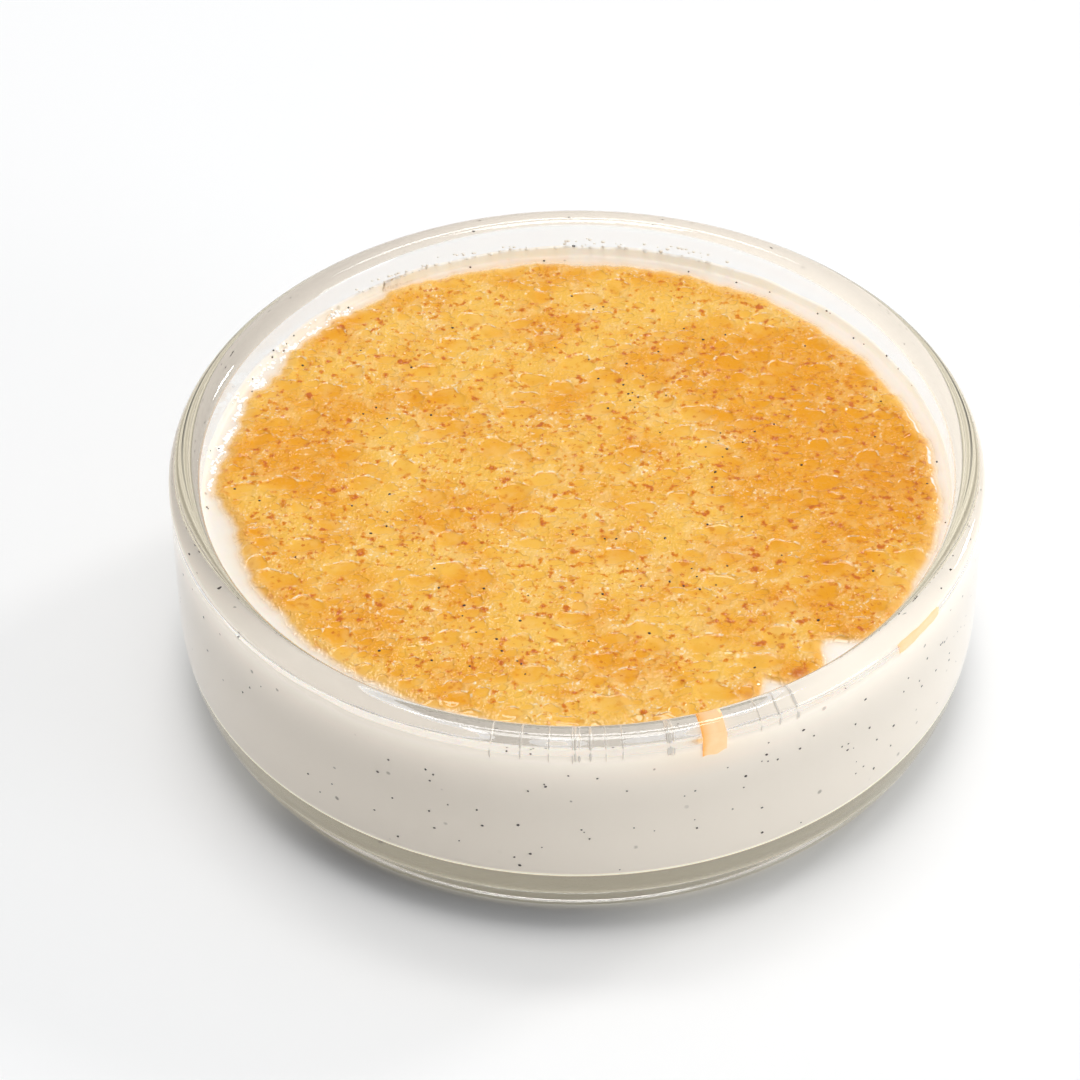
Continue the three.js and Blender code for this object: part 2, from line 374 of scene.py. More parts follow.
beyond_edge = np.clip(radii - edge_radius(bearings), 0, None)
patchy = 0.75 + 0.25 * np.sin(np.radians(71 * bearings)) * np.sin(np.radians(113 * bearings + 40))
smeared = patchy * hump(bearing_gap(bearings, SMEARED), SMEARED_SPREAD)
stain_width = STAIN_WIDTH + MORE_STAIN_WIDTH * smeared
stain = (STAIN + MORE_STAIN * smeared) * np.exp(-beyond_edge / stain_width)
side_stain = SYRUP_STAIN * hump(bearing_gap(bearings, SYRUP_BELOW), SYRUP_SPREAD)
side_stain[heights < CUSTARD_LEVEL - 2 * NEAR] = 0
on_top = heights > CUSTARD_LEVEL - 0.01
put_attribute(custard, "stain", np.where(on_top, np.clip(stain, 0, 1), side_stain))
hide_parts("custard")
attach(custard, "root")
print("custard up to", round(float(heights.max()), 2), "mm")

# %% [markdown]
# ## The caramel sheet
# Burnt sugar lies in smooth shallow pools with raised, grainy ridges between them. The
# ridges are the borders between neighbouring pools, so they can be worked out: a point is
# on a ridge when its two nearest pools are equally far. A hexagon filled with triangles
# and subdivided gives even small faces, and its points are then laid out in rings that end
# on the uneven edge.

# %% The pools
POOL_SPACING = 5.2
POOL_STRETCH = 1.3
POOL_TRIES = 3000
SEED = 2207


def number_stream(seed):
    state = seed
    while True:
        state = (state * 1664525 + 1013904223) % 4294967296
        yield state / 4294967296


def scatter_pools():
    numbers = number_stream(SEED)
    pools = []
    for _ in range(POOL_TRIES):
        x = (2 * next(numbers) - 1) * OUTER_RADIUS
        y = (2 * next(numbers) - 1) * OUTER_RADIUS
        gaps = [math.hypot((x - px) / POOL_STRETCH, y - py) for px, py, _ in pools]
        if not gaps or min(gaps) > POOL_SPACING:
            pools.append((x, y, 0.35 + 0.65 * next(numbers)))
    return np.array(pools)


pools = scatter_pools()
print(len(pools), "pools")

# %% The sheet's height
CARAMEL_UNDERSIDE = 26.6
CARAMEL_THICKNESS = 0.32
SWELL = 0.045
RIDGE_HEIGHT = 0.15
RIDGE_WIDTH = 2.1             # counted as the difference of the distances to two pools
RIM_ROLL = 0.1
RIM_ROLL_WIDTH = 1.6
BEAD_WIDTH = 2.6              # the sheet's edge is rounded over this width
SUNK_EDGE = 0.5               # the last of it lies under the custard's surface
SUNK_DEPTH = 0.06             # and this deep


def pool_gaps(x, y):
    """Difference of the distances to the two nearest pools, and the nearest pool's strength."""
    gap = np.empty(len(x))
    strength = np.empty(len(x))
    for start in range(0, len(x), 8192):
        part = slice(start, start + 8192)
        away = np.hypot((x[part, None] - pools[:, 0]) / POOL_STRETCH, y[part, None] - pools[:, 1])
        nearest = np.argpartition(away, 1, axis=1)[:, :2]
        two = np.take_along_axis(away, nearest, axis=1)
        gap[part] = np.abs(two[:, 1] - two[:, 0])
        first = nearest[np.arange(len(two)), two.argmin(axis=1)]
        strength[part] = pools[first, 2]
    return gap, strength


def sheet_height(x, y, inset, gap, strength):
    swell = np.sin(x / 6.1 + 1.3) * np.cos(y / 7.4) + np.sin((x + 1.7 * y) / 9.8 + 0.4)
    roll = RIM_ROLL * np.exp(-((inset - RIM_ROLL_WIDTH) ** 2) / RIM_ROLL_WIDTH)
    ridge = RIDGE_HEIGHT * strength * (1 - smooth_step(gap, 0, RIDGE_WIDTH))
    full = CARAMEL_UNDERSIDE + CARAMEL_THICKNESS + SWELL * swell + roll + ridge
    bead = smooth_step(inset, 0, BEAD_WIDTH)
    shore = CUSTARD_LEVEL + meniscus(np.hypot(x, y), np.degrees(np.arctan2(y, x))) - SUNK_DEPTH
    return np.maximum(shore + (full - shore) * bead, shore)


# %% The dimples
DIMPLE_TRIES = 2600
DIMPLE_REACH = 43.2
DIMPLE_STRETCH = 1.35
SMALLEST_DIMPLE = 0.4
LARGEST_DIMPLE = 1.75


def scatter_dimples():
    """Small smooth hollows: place, half width, depth, and two turns for an uneven outline."""
    rng = random.Random(73)
    found = []
    for _ in range(DIMPLE_TRIES):
        away = DIMPLE_REACH * math.sqrt(rng.random())
        bearing = rng.uniform(0, 2 * math.pi)
        dx = away * math.cos(bearing)
        dy = away * math.sin(bearing)
        size = SMALLEST_DIMPLE + (LARGEST_DIMPLE - SMALLEST_DIMPLE) * rng.random() ** 2.4
        room = [math.hypot((dx - old[0]) / DIMPLE_STRETCH, dy - old[1]) - old[2] for old in found]
        if not room or min(room) > 0.9 * size:
            depth = rng.uniform(0.05, 0.10) * min(1, size)
            found.append((dx, dy, size, depth, rng.uniform(0, 6.3), rng.uniform(0, 6.3)))
    return found


def dimple_field(x, y):
    """For each point: how far from a dimple's middle, 1 at its shore, the depth there, and
    how much it lies on the far side, in millimetres."""
    shore = np.full(len(x), 2.0)
    depth = np.zeros(len(x))
    far = np.zeros(len(x))
    for dx, dy, size, deep, first_turn, second_turn in dimples:
        near = (np.abs(x - dx) < 2 * size * DIMPLE_STRETCH) & (np.abs(y - dy) < 2 * size)
        across = (x[near] - dx) / (size * DIMPLE_STRETCH)
        back = (y[near] - dy) / size
        angle = np.arctan2(back, across)
        outline = 1 + 0.14 * np.sin(2 * angle + first_turn) + 0.1 * np.sin(3 * angle + second_turn)
        outline += 0.06 * np.sin(5 * angle + first_turn + second_turn)
        ratio = np.hypot(across, back) / outline
        nearer = ratio < shore[near]
        far[near] = np.where(nearer, np.maximum(np.sin(angle), 0) * size, far[near])
        shore[near] = np.minimum(shore[near], ratio)
        depth[near] = np.maximum(depth[near], deep * (1 - smooth_step(ratio, 0.8, 1.12)))
    return shore, depth, far


dimples = scatter_dimples()
print(len(dimples), "dimples")

# %% The sheet
FIRST_CUTS = 42
SECOND_CUTS = 3
EDGE_REACH = 0.75
SUNK = 26.3                   # the sheet's underside, inside the custard
PAINTED_HIGHLIGHT_BEARING = 6                  # bearing of a painted highlight: a white line near the edge
PAINTED_HIGHLIGHT_SPREAD = 17
PAINTED_HIGHLIGHT_INSET = 1.3             # how far inside the edge the white line runs
PAINTED_HIGHLIGHT_WIDTH = 0.28
TOASTED = [                   # browner places: x, y, spread in millimetres, strength
    (25.6, -34.1, 1.7, 1.0),
    (19.6, -37.7, 1.5, 0.8),
    (26.0, 20.0, 12.0, 0.45),
    (39.0, 0.0, 17.0, 0.62),
    (-36.0, 6.0, 8.0, 0.45),
    (-32.0, -20.0, 8.0, 0.35),
]

select_nothing()
bpy.ops.mesh.primitive_circle_add(vertices=6, radius=OUTER_RADIUS * MM, fill_type="TRIFAN")
caramel = bpy.context.object
caramel.name = "caramel_sheet"
caramel.data.name = "caramel_sheet"
bpy.ops.object.mode_set(mode="EDIT")
bpy.ops.mesh.subdivide(number_cuts=FIRST_CUTS)
bpy.ops.mesh.subdivide(number_cuts=SECOND_CUTS)
bpy.ops.object.mode_set(mode="OBJECT")

bearings, radii, _ = polar(caramel)
SIXTH = 60
FIRST_CORNER = 30
within = (bearings - FIRST_CORNER) % SIXTH
sector = bearings - within
from_middle = np.radians(within - SIXTH / 2)
apothem = OUTER_RADIUS * math.cos(math.radians(SIXTH / 2))
share = radii * np.cos(from_middle) / apothem
progress = 0.5 + np.tan(from_middle) / (2 * math.tan(math.radians(SIXTH / 2)))
round_bearings = (sector + SIXTH * progress) % 360
edge = np.minimum(edge_radius(round_bearings) + SUNK_EDGE, EDGE_LIMIT)
plain = EDGE_RADII[0]
reach = share * (plain + (edge - plain) * smooth_step(share, EDGE_REACH, 1))
x = reach * np.cos(np.radians(round_bearings))
y = reach * np.sin(np.radians(round_bearings))
inset = np.clip(edge - reach, 0, None)
gap, strength = pool_gaps(x, y)
shore, depth, far = dimple_field(x, y)
z = sheet_height(x, y, inset, gap, strength) - depth * smooth_step(inset, 0.3, 1.5)
caramel.data.vertices.foreach_set("co", (np.stack([x, y, z], axis=1) * MM).ravel())
caramel.data.update()
put_attribute(caramel, "shore", shore)
put_attribute(caramel, "far", far)
put_attribute(caramel, "inset", inset - SUNK_EDGE)
toast = np.zeros(len(x))
for at_x, at_y, spread, strong in TOASTED:
    toast += strong * hump(np.hypot(x - at_x, y - at_y), spread)
put_attribute(caramel, "toast", np.clip(toast, 0, 1))
# A painted highlight: a white line a little inside the edge on the right.
painted_highlight = hump(bearing_gap(round_bearings, PAINTED_HIGHLIGHT_BEARING), PAINTED_HIGHLIGHT_SPREAD)
painted_highlight = painted_highlight * hump(inset - PAINTED_HIGHLIGHT_INSET, PAINTED_HIGHLIGHT_WIDTH)
put_attribute(caramel, "painted_highlight", painted_highlight)
print("caramel", len(x), "points, thickest", round(float((z - CARAMEL_UNDERSIDE).max()), 2), "mm")

# %% [markdown]
# The ridges are rough and the pools are smooth. A vertex group says where the sheet is
# rough, and Displace modifiers lift it there by a fine random texture: lumps of foamed
# sugar first, then grains.

# %% Lumps and grains on the ridges
LUMPS = [("sugar_lumps", 1.0, 0.14), ("sugar_grains", 0.45, 0.09)]

rough = caramel.vertex_groups.new(name="rough")
roughness = smooth_step(shore, 0.95, 1.5) * smooth_step(inset, 0.3, 1.8)
for index, weight in enumerate(roughness):
    if weight > 0.01:
        rough.add([index], float(weight), "REPLACE")

for name, size, height in LUMPS:
    texture = bpy.data.textures.new(name, "CLOUDS")
    texture.noise_scale = size * MM
    texture.noise_depth = 1
    lumps = caramel.modifiers.new(name, "DISPLACE")
    lumps.texture = texture
    lumps.texture_coords = "LOCAL"
    lumps.direction = "Z"
    lumps.vertex_group = "rough"
    lumps.mid_level = 0.5
    lumps.strength = height * MM
    bpy.ops.object.modifier_apply(modifier=name)

# %% Closing the sheet underneath
bpy.ops.object.mode_set(mode="EDIT")
bpy.ops.mesh.select_mode(type="EDGE")
bpy.ops.mesh.select_all(action="DESELECT")
bpy.ops.mesh.select_non_manifold()
bpy.ops.mesh.extrude_edges_move(TRANSFORM_OT_translate={"value": (0, 0, -0.1 * MM)})
bpy.ops.transform.resize(value=(1, 1, 0), center_override=(0, 0, SUNK * MM))
bpy.ops.mesh.extrude_edges_move(TRANSFORM_OT_translate={"value": (0, 0, 0)})
bpy.ops.mesh.merge(type="CENTER")
bpy.ops.mesh.select_all(action="SELECT")
bpy.ops.mesh.normals_make_consistent(inside=False)
bpy.ops.object.mode_set(mode="OBJECT")
bpy.ops.object.shade_smooth()
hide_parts("caramel")
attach(caramel, "root")
print("caramel", len(caramel.data.polygons), "faces")

# %% [markdown]
# ## Vanilla seeds, streaks, films and froth
# A vanilla seed is a black grain a third of a millimetre long. One is modelled from an
# icosahedron, a little flattened, and copied to every place, because at this size only the
# place and the turn differ. The seeds of one kind are joined into one piece. Froth bubbles
# and the streaks on the glass are made in the same way.

# %% Copying one small thing to many places
def on_circle(radius, turn, height):
    """A place in metres, from a radius and a height in millimetres and a turn in radians."""
    return Vector((radius * math.cos(turn), radius * math.sin(turn), height)) * MM


def joined(name, pieces):
    """Several pieces of one kind as one piece of the dish."""
    select_nothing()
    for piece in pieces:
        piece.select_set(True)
    bpy.context.view_layer.objects.active = pieces[0]
    bpy.ops.object.join()
    whole = bpy.context.object
    whole.name = name
    whole.data.name = name
    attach(whole, "root")
    print(name, len(pieces), "pieces,", len(whole.data.polygons), "faces")
    return whole


def scattered(name, small, places):
    """One piece of copies of a small thing, each put in place by its own matrix."""
    copies = []
    for matrix in places:
        copy = small.copy()
        copy.data = small.data.copy()
        copy.data.transform(matrix)
        bpy.context.scene.collection.objects.link(copy)
        copies.append(copy)
    return joined(name, copies)


def turn_about(rng, flat):
    """A random turn: about Z only if flat, else any way up."""
    spin = Matrix.Rotation(rng.uniform(0, 2 * math.pi), 4, "Z")
    if flat:
        return spin
    return spin @ Matrix.Rotation(rng.uniform(0, math.pi), 4, "X")


def flattened_ball(subdivisions, radius, sides):
    select_nothing()
    bpy.ops.mesh.primitive_ico_sphere_add(subdivisions=subdivisions, radius=radius * MM)
    bpy.ops.object.mode_set(mode="EDIT")
    bpy.ops.transform.resize(value=sides, center_override=(0, 0, 0))
    bpy.ops.object.mode_set(mode="OBJECT")
    bpy.ops.object.shade_smooth()
    return bpy.context.object


# %% One vanilla seed
SEED_LENGTH = 0.42
seed = flattened_ball(1, SEED_LENGTH / 2, (1, 0.8, 0.7))

# %% Seeds on the caramel
rng = random.Random(41)
surface = BVHTree.FromObject(caramel, bpy.context.evaluated_depsgraph_get())
ABOVE = Vector((0, 0, 1))


def drop_on(x, y):
    """The caramel's surface under a point, in metres."""
    return surface.ray_cast(Vector((x * MM, y * MM, 1)), -ABOVE)[0]


SEEDS_ON_CARAMEL = 92
SEED_REACH = 43.5             # the farthest from the axis
CLUSTERED = 0.3               # this share of them lies in clusters
CLUSTER_SPREAD = 3.0
CLUSTERS = [(-14, -20), (-9, -31), (12, -16), (20, 6), (-24, 12), (4, 18)]
places = []
while len(places) < SEEDS_ON_CARAMEL:
    if rng.random() < CLUSTERED:
        middle = rng.choice(CLUSTERS)
        sx = rng.gauss(middle[0], CLUSTER_SPREAD)
        sy = rng.gauss(middle[1], CLUSTER_SPREAD)
    else:
        sx = rng.uniform(-44, 44)
        sy = rng.uniform(-44, 44)
    size = rng.uniform(0.7, 1.15)
    spot = drop_on(sx, sy)
    if spot is None or math.hypot(sx, sy) > SEED_REACH:
        continue
    spot = spot - ABOVE * 0.03 * MM
    places.append(Matrix.Translation(spot) @ turn_about(rng, True) @ Matrix.Scale(size, 4))
vanilla_on_caramel = scattered("vanilla_on_caramel", seed, places)

# %% Seeds against the glass and along the ring
SEEDS_ON_SIDE = 300
SEEDS_ON_RING = 44
FEWER_UP_TO = 240             # up to this bearing most of the seeds on the side are left out
LEFT_OUT = 0.7
places = []
for _ in range(SEEDS_ON_SIDE):
    bearing = rng.uniform(0, 2 * math.pi)
    height = CUSTARD_BOTTOM + custard_corner + (CUSTARD_LEVEL - 10.5) * rng.random() ** 0.9
    if math.degrees(bearing) < FEWER_UP_TO and rng.random() < LEFT_OUT:
        continue
    radius = CUSTARD_RADIUS + 0.02
    size = 0.5 + 0.7 * rng.random()
    spot = on_circle(radius, bearing, height)
    places.append(Matrix.Translation(spot) @ turn_about(rng, False) @ Matrix.Scale(size, 4))
for _ in range(SEEDS_ON_RING):
    bearing = rng.uniform(0, 2 * math.pi)
    radius = INNER_RADIUS - 1.4 * rng.random() ** 1.6
    size = rng.uniform(0.5, 0.9)
    height = CUSTARD_LEVEL + float(meniscus(radius, math.degrees(bearing))) + 0.02
    spot = on_circle(radius, bearing, height)
    places.append(Matrix.Translation(spot) @ turn_about(rng, False) @ Matrix.Scale(size, 4))
vanilla_in_custard = scattered("vanilla_in_custard", seed, places)

# %% Streaks on the glass
# Where custard ran back down the glass it left thin upright streaks: a seed, drawn out. They
# lie just inside the wall, so that the custard's film doesn't hide their feet.
STREAKS = [                   # bearing, how many stand there
    (255.5, 1), (262, 1), (266, 1), (270, 4), (275, 2), (281, 4), (296, 2), (302, 2),
]
STREAK_SPREAD = 1.3
STREAK_DEPTH = 0.15
places = []
for middle, count in STREAKS:
    for _ in range(count):
        bearing = math.radians(middle + rng.gauss(0, STREAK_SPREAD))
        height = CUSTARD_LEVEL + rng.uniform(0.7, 1.1)
        spot = on_circle(INNER_RADIUS + STREAK_DEPTH, bearing, height)
        long = Matrix.Diagonal((0.2, rng.uniform(0.4, 1.4), rng.uniform(4.0, 6.6), 1))
        places.append(Matrix.Translation(spot) @ Matrix.Rotation(bearing, 4, "Z") @ long)
streaks_on_glass = scattered("streaks_on_glass", seed, places)

# %% Caramel on the glass
# Where a tongue reaches the glass, a film of caramel climbs it: a strip, spun along the wall.
# Its edges are ragged, and it is browner towards one end.
FILMS = [                     # from, to; low, high above the level; how brown one end is
    (286.8, 290.3, -0.7, 3.8, 0.9),
    (320.5, 330.5, 0.6, 2.4, 0.2),
]
FILM_STEPS = 30
FILM_THICKNESS = 0.12
FILM_DEPTH = 0.2              # into the wall, clear of every other face
BROWNED_WIDTH = 0.5           # degrees


def caramel_film(begin, end, low, high, brown):
    """An upright line, spun along the wall and given its thickness."""
    corner = on_circle(INNER_RADIUS + FILM_DEPTH, math.radians(end), CUSTARD_LEVEL + low) / MM
    film = drawn([corner, corner + Vector((0, 0, high - low))])
    bpy.ops.mesh.spin(steps=FILM_STEPS, angle=math.radians(end - begin),
                      center=(0, 0, 0), axis=(0, 0, 1))
    bpy.ops.object.mode_set(mode="OBJECT")
    bearings, _, heights = polar(film)
    put_attribute(film, "browned", brown * np.exp(-bearing_gap(bearings, begin) / BROWNED_WIDTH))
    ragged = 0.2 + 0.14 * np.sin(np.radians(61 * bearings))
    ragged += 0.1 * np.sin(np.radians(143 * bearings))
    on_upper_edge = heights > CUSTARD_LEVEL + (low + high) / 2
    lowered = (high - low) * np.where(on_upper_edge, ragged, 0.1 - 0.3 * ragged)
    for vertex, drop in zip(film.data.vertices, lowered):
        vertex.co.z -= float(drop) * MM
    thick = film.modifiers.new("thick", "SOLIDIFY")
    thick.thickness = FILM_THICKNESS * MM
    thick.offset = 0
    bpy.ops.object.modifier_apply(modifier="thick")
    return film


caramel_on_glass = joined("caramel_on_glass", [caramel_film(*film) for film in FILMS])

# %% Froth along the caramel
# White froth clings to the sheet's edge at the back left, in clusters of flat bubbles.
BUBBLES = 360
FROTH_FROM = 128
FROTH_TO = 181
FROTH_CLUSTERS = 46
WALL_BUBBLES = 90             # a few cling to the glass at the back
WALL_BUBBLES_FROM = 62
WALL_BUBBLES_TO = 128
bubble = flattened_ball(2, 1.0, (1, 1, 0.45))
clusters = [(rng.uniform(FROTH_FROM, FROTH_TO), rng.random() ** 2.2) for _ in range(FROTH_CLUSTERS)]
places = []
for _ in range(BUBBLES):
    middle, out = rng.choice(clusters)
    bearing = middle + rng.gauss(0, 0.7)
    edge_here = float(edge_radius(np.array([bearing % 360]))[0])
    room = INNER_RADIUS - edge_here
    radius = min(edge_here + 0.05 + out * room * 0.8 + rng.gauss(0, 0.14), INNER_RADIUS - 0.1)
    size = rng.uniform(0.08, 0.22) + 0.12 * rng.random() ** 3
    height = CUSTARD_LEVEL + float(meniscus(radius, bearing)) - 0.01
    spot = on_circle(radius, math.radians(bearing), height)
    places.append(Matrix.Translation(spot) @ Matrix.Scale(size, 4))
froth = scattered("froth", bubble, places)

places = []
for _ in range(WALL_BUBBLES):
    bearing = rng.uniform(WALL_BUBBLES_FROM, WALL_BUBBLES_TO)
    radius = INNER_RADIUS - 0.06
    height = CUSTARD_LEVEL + float(meniscus(radius, bearing)) + 1.6 * rng.random() ** 1.6
    spot = on_circle(radius, math.radians(bearing), height)
    places.append(Matrix.Translation(spot) @ Matrix.Scale(rng.uniform(0.12, 0.3), 4))
froth_on_glass = scattered("froth_on_glass", bubble, places)
for spent in (seed, bubble):
    bpy.data.objects.remove(spent)

# %% [markdown]
# ## Shared effects
# Two effects turn up in more than one finish. Scattered spots serve as burnt freckles in the
# sugar and as seeds sunk in the custard. Grain serves as sugar grain and as the custard's
# faint tooth. Each is a shader group with named sockets, built once.

# %% Building node groups
def colour(red, green, blue):
    """A display colour, 0 to 255, as the linear numbers that a shader works in."""
    linear = []
    for value in (red, green, blue):
        share = value / 255
        linear.append(share / 12.92 if share < 0.04045 else ((share + 0.055) / 1.055) ** 2.4)
    return (*linear, 1)


def feed(tree, node, **sockets):
    """A socket is given a value or the output that feeds it; _0 means the first socket."""
    for name, value in sockets.items():
        key = int(name[1:]) if name[0] == "_" else name.replace("_", " ")
        socket = node.inputs[key]
        if isinstance(value, bpy.types.NodeSocket):
            tree.links.new(value, socket)
        else:
            socket.default_value = value


def add(tree, kind, settings=None, **sockets):
    """A node with its settings, and with its sockets fed."""
    node = tree.nodes.new(kind)
    for name, value in (settings or {}).items():
        setattr(node, name, value)
    feed(tree, node, **sockets)
    return node


def sum_up(tree, operation, first, second):
    """One step of arithmetic on two numbers or outputs."""
    return add(tree, "ShaderNodeMath", {"operation": operation}, _0=first, _1=second).outputs[0]


def vector_step(tree, operation, first, second=(0, 0, 0)):
    """One step of arithmetic on places or directions; gives a Vector and a Value."""
    return add(tree, "ShaderNodeVectorMath", {"operation": operation},
               _0=first, _1=second).outputs


def scaled(tree, vector, factor):
    return add(tree, "ShaderNodeVectorMath", {"operation": "SCALE"},
               _0=vector, Scale=factor).outputs[0]


def own_place(tree):
    """Where a point lies in its piece, in metres."""
    return add(tree, "ShaderNodeTexCoord").outputs["Object"]


def along(tree, place, axis):
    return add(tree, "ShaderNodeSeparateXYZ", Vector=place).outputs[axis]


def from_axis(tree, place):
    """The way from the dish's axis to a place, and how long it is."""
    flat = vector_step(tree, "MULTIPLY", place, (1, 1, 0))["Vector"]
    return flat, vector_step(tree, "LENGTH", flat)["Value"]


def measured(tree, name):
    """A number that the points of a piece carry."""
    return add(tree, "ShaderNodeAttribute", {"attribute_name": name}).outputs["Fac"]


def cloudy(tree, place, scale, detail=2.0):
    return add(tree, "ShaderNodeTexNoise", Vector=place, Scale=scale, Detail=detail).outputs["Fac"]


def slope(tree, value, low, high, bottom=0.0, top=1.0, shape="SMOOTHSTEP"):
    """Bottom at low, top at high, level beyond them; low may be the larger."""
    return add(tree, "ShaderNodeMapRange", {"interpolation_type": shape},
               Value=value, _1=low, _2=high, _3=bottom, _4=top).outputs[0]


def colour_mix(tree, factor, below, above):
    return add(tree, "ShaderNodeMix", {"data_type": "RGBA"},
               _0=factor, _6=below, _7=above).outputs[2]


def new_group(name, inputs, outputs):
    tree = bpy.data.node_groups.new(name, "ShaderNodeTree")
    for label, kind, value in inputs:
        socket = tree.interface.new_socket(label, in_out="INPUT", socket_type=kind)
        if value is not None:
            socket.default_value = value
    for label, kind in outputs:
        tree.interface.new_socket(label, in_out="OUTPUT", socket_type=kind)
    source = tree.nodes.new("NodeGroupInput")
    sink = tree.nodes.new("NodeGroupOutput")
    return tree, source.outputs, sink.inputs


# %% Scattered spots
NUMBER = "NodeSocketFloat"
VECTOR = "NodeSocketVector"

spots, given, result = new_group("scattered_spots", [
    ("Position", VECTOR, None),
    ("Per Metre", NUMBER, 1000.0),
    ("Largest", NUMBER, 0.4),
    ("Raggedness", NUMBER, 0.3),
    ("Softness", NUMBER, 0.3),
], [("Mask", NUMBER), ("Chance", NUMBER)])
sized = scaled(spots, given["Position"], given["Per Metre"])
wobble = add(spots, "ShaderNodeTexNoise", Vector=sized, Scale=2.6, Detail=2.0)
centred = vector_step(spots, "SUBTRACT", wobble.outputs["Color"], (0.5, 0.5, 0.5))["Vector"]
pushed = scaled(spots, centred, given["Raggedness"])
ragged = vector_step(spots, "ADD", sized, pushed)["Vector"]
cells = add(spots, "ShaderNodeTexVoronoi", Vector=ragged, Scale=1.0)
draws = add(spots, "ShaderNodeSeparateColor", Color=cells.outputs["Color"]).outputs
size = sum_up(spots, "MULTIPLY", sum_up(spots, "POWER", draws[0], 1.6), given["Largest"])
core = sum_up(spots, "MULTIPLY", size, sum_up(spots, "SUBTRACT", 1.0, given["Softness"]))
spots.links.new(slope(spots, cells.outputs["Distance"], size, core), result["Mask"])
spots.links.new(draws[1], result["Chance"])

# %% Grain
grain, given, result = new_group("grain", [
    ("Position", VECTOR, None),
    ("Per Metre", NUMBER, 1000.0),
    ("Lumpiness", NUMBER, 0.5),
], [("Height", NUMBER)])
sized = scaled(grain, given["Position"], given["Per Metre"])
fine = cloudy(grain, sized, 1.0)
lumps = add(grain, "ShaderNodeTexVoronoi", Vector=sized, Scale=0.8).outputs["Distance"]
height = add(grain, "ShaderNodeMix", {"data_type": "FLOAT"},
             Factor=given["Lumpiness"], _2=fine, _3=sum_up(grain, "SUBTRACT", 1.0, lumps))
grain.links.new(height.outputs[0], result["Height"])
print("groups:", [tree.name for tree in bpy.data.node_groups])

# %% [markdown]
# ## Glass
# Clear glass bends light and reflects a little of it. Lamps can't find their way through a
# bending surface, so without help everything inside the dish would be too dark and grainy.
# The usual answer is to let shadow rays, and rays that gather soft light, pass straight: the
# Light Path node says which rays those are. Rays from the camera are still bent.
# The curved heel scatters light away, so a shadow ray that enters there loses more, and the
# dish gets the dark shadow beside its foot that heavy glass has. It is darkest on the side
# away from the lamps. Rays that leave the dish there lose nothing, so the table under the
# hollow base stays lit.

# %% Glass
def material(name, **sockets):
    """A material, its nodes and its Principled shader, with some of the shader's sockets fed."""
    made = bpy.data.materials.new(name)
    made.use_nodes = True
    shader = made.node_tree.nodes["Principled BSDF"]
    feed(made.node_tree, shader, **sockets)
    return made, made.node_tree, shader


def dress(piece, made):
    piece.data.materials.clear()
    piece.data.materials.append(made)


HEEL_SHADE = (0.40, 0.405, 0.415, 1)
DARKEST_SHADE = (0.05, 0.05, 0.055, 1)
DARKEST_SIDE = (-0.36, -0.93, 0)   # away from the lamp behind on the right
WALL_SHADE = (0.985, 0.975, 0.965, 1)

glass, tree, shader = material("clear_glass", Base_Color=(0.925, 0.922, 0.912, 1),
                               Roughness=0.0, IOR=1.5, Transmission_Weight=1.0)
where = own_place(tree)
height = along(tree, where, "Z")
flat, away = from_axis(tree, where)
above_foot = slope(tree, height, 0.05 * MM, 0.7 * MM, shape="LINEAR")
outside = slope(tree, away, (foot_outer - 1.2) * MM, (foot_outer - 0.2) * MM, shape="LINEAR")
below_wall = slope(tree, height, HEEL_HEIGHT * MM, 0.2 * HEEL_HEIGHT * MM)
leaving = add(tree, "ShaderNodeNewGeometry").outputs["Backfacing"]
entering = sum_up(tree, "SUBTRACT", 1.0, leaving)
outward = vector_step(tree, "NORMALIZE", flat)["Vector"]
turned_away = vector_step(tree, "DOT_PRODUCT", outward, DARKEST_SIDE)["Value"]
darkest = slope(tree, turned_away, 0.78, 0.98)
shade = colour_mix(tree, darkest, HEEL_SHADE, DARKEST_SHADE)
heel = sum_up(tree, "MULTIPLY", sum_up(tree, "MULTIPLY", above_foot, below_wall), outside)
shaded = sum_up(tree, "MULTIPLY", heel, entering)
tint = colour_mix(tree, shaded, WALL_SHADE, shade)
through = add(tree, "ShaderNodeBsdfTransparent", Color=tint)
path = add(tree, "ShaderNodeLightPath")
straight = sum_up(tree, "MAXIMUM", path.outputs["Is Shadow Ray"], path.outputs["Is Diffuse Ray"])
mixed = add(tree, "ShaderNodeMixShader", _0=straight, _1=shader.outputs[0], _2=through.outputs[0])
tree.links.new(mixed.outputs[0], tree.nodes["Material Output"].inputs["Surface"])
dress(dish, glass)

# %% [markdown]
# ## Custard
# Custard is pale, soft and a little translucent, so it gets subsurface scattering. Its top
# has a moist gloss. Against the glass there is no air, so there it has no gloss of its own:
# that is a second material, on the faces of the side. Several parts glow though no lamp is
# there; this painted light stands in for daylight that soaks down through the custard. The
# side glows a little just below the level and faintly low down, and a third material lets the
# underside glow, most of all near its rim, in a yellower colour that paints in its shade. The
# custard's film on the glass and the right of the top glow faintly too.

# %% Custard
CUSTARD_COLOUR = colour(240, 233, 223)
SIDE_COLOUR = colour(244, 235, 222)
# A yellower custard colour for the underside, which paints in its shade.
UNDERSIDE_COLOUR = colour(238, 230, 208)
SYRUP_COLOUR = colour(248, 210, 164)
SUNKEN_SEED_COLOUR = colour(120, 112, 100)
FROTH_COLOUR = colour(253, 251, 247)
# Strengths of the painted glows on the custard.
UNDERSIDE_GLOW = 0.18
OUTER_UNDERSIDE_GLOW = 0.5
SIDE_GLOW = 0.30
SIDE_GLOW_DEPTH = 9.0
LOW_GLOW = 0.05
FILM_GLOW = 0.12
RIGHT_GLOW = 0.12


